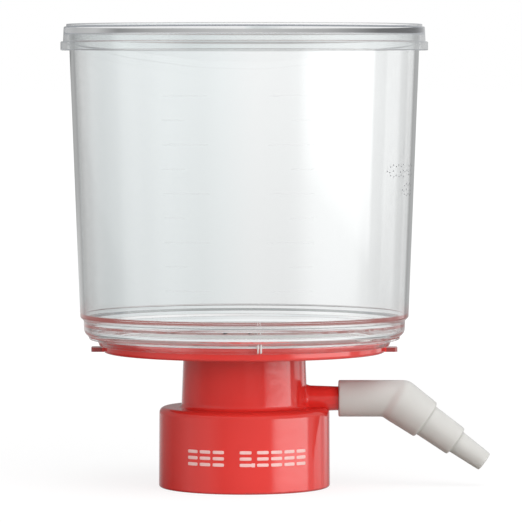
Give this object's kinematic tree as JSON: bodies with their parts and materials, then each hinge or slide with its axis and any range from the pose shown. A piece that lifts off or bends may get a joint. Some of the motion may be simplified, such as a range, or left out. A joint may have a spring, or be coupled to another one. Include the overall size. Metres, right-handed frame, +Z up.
{
  "type": "vacuum filtration unit",
  "caption": "Bottle-top vacuum filter: clear funnel with lift-off lid over a red screw-on base with membrane, drip spout, side vacuum port and a swivelling stepped hose adapter.",
  "frame": {"origin": "on the funnel's axis, in the plane of the collar's rim, on which the part stands", "axes": "+Z up the funnel's axis towards the lid, +X along the side vacuum port, -Y towards the viewer"},
  "size_m": [0.1262, 0.1078, 0.1361],
  "materials": {
    "red_plastic": "glossy moulded red",
    "clear_funnel": "clear moulded polystyrene",
    "clear_lid": "clear moulded polystyrene",
    "membrane_white": "matt white membrane",
    "gasket_silicone": "soft off-white",
    "cotton": "loose white wadding",
    "adapter_plastic": "translucent white, satin"
  },
  "bodies": {
    "filter_body": {"base": "red_plastic", "funnel": "clear_funnel", "membrane": "membrane_white", "neck_gasket": "gasket_silicone", "cotton_plug": "cotton"},
    "lid_body": {"lid": "clear_lid"},
    "adapter_body": {"hose_adapter": "adapter_plastic"}
  },
  "joints": [
    {"name": "lid_lift", "type": "slide", "parent": "filter_body", "child": "lid_body", "axis": [0, 0, 1], "range_m": [0, 0.04]},
    {"name": "adapter_swivel", "type": "hinge", "parent": "filter_body", "child": "adapter_body", "pos_m": [0.0345, 0, 0.026], "axis": [1, 0, 0], "continuous": true}
  ]
}
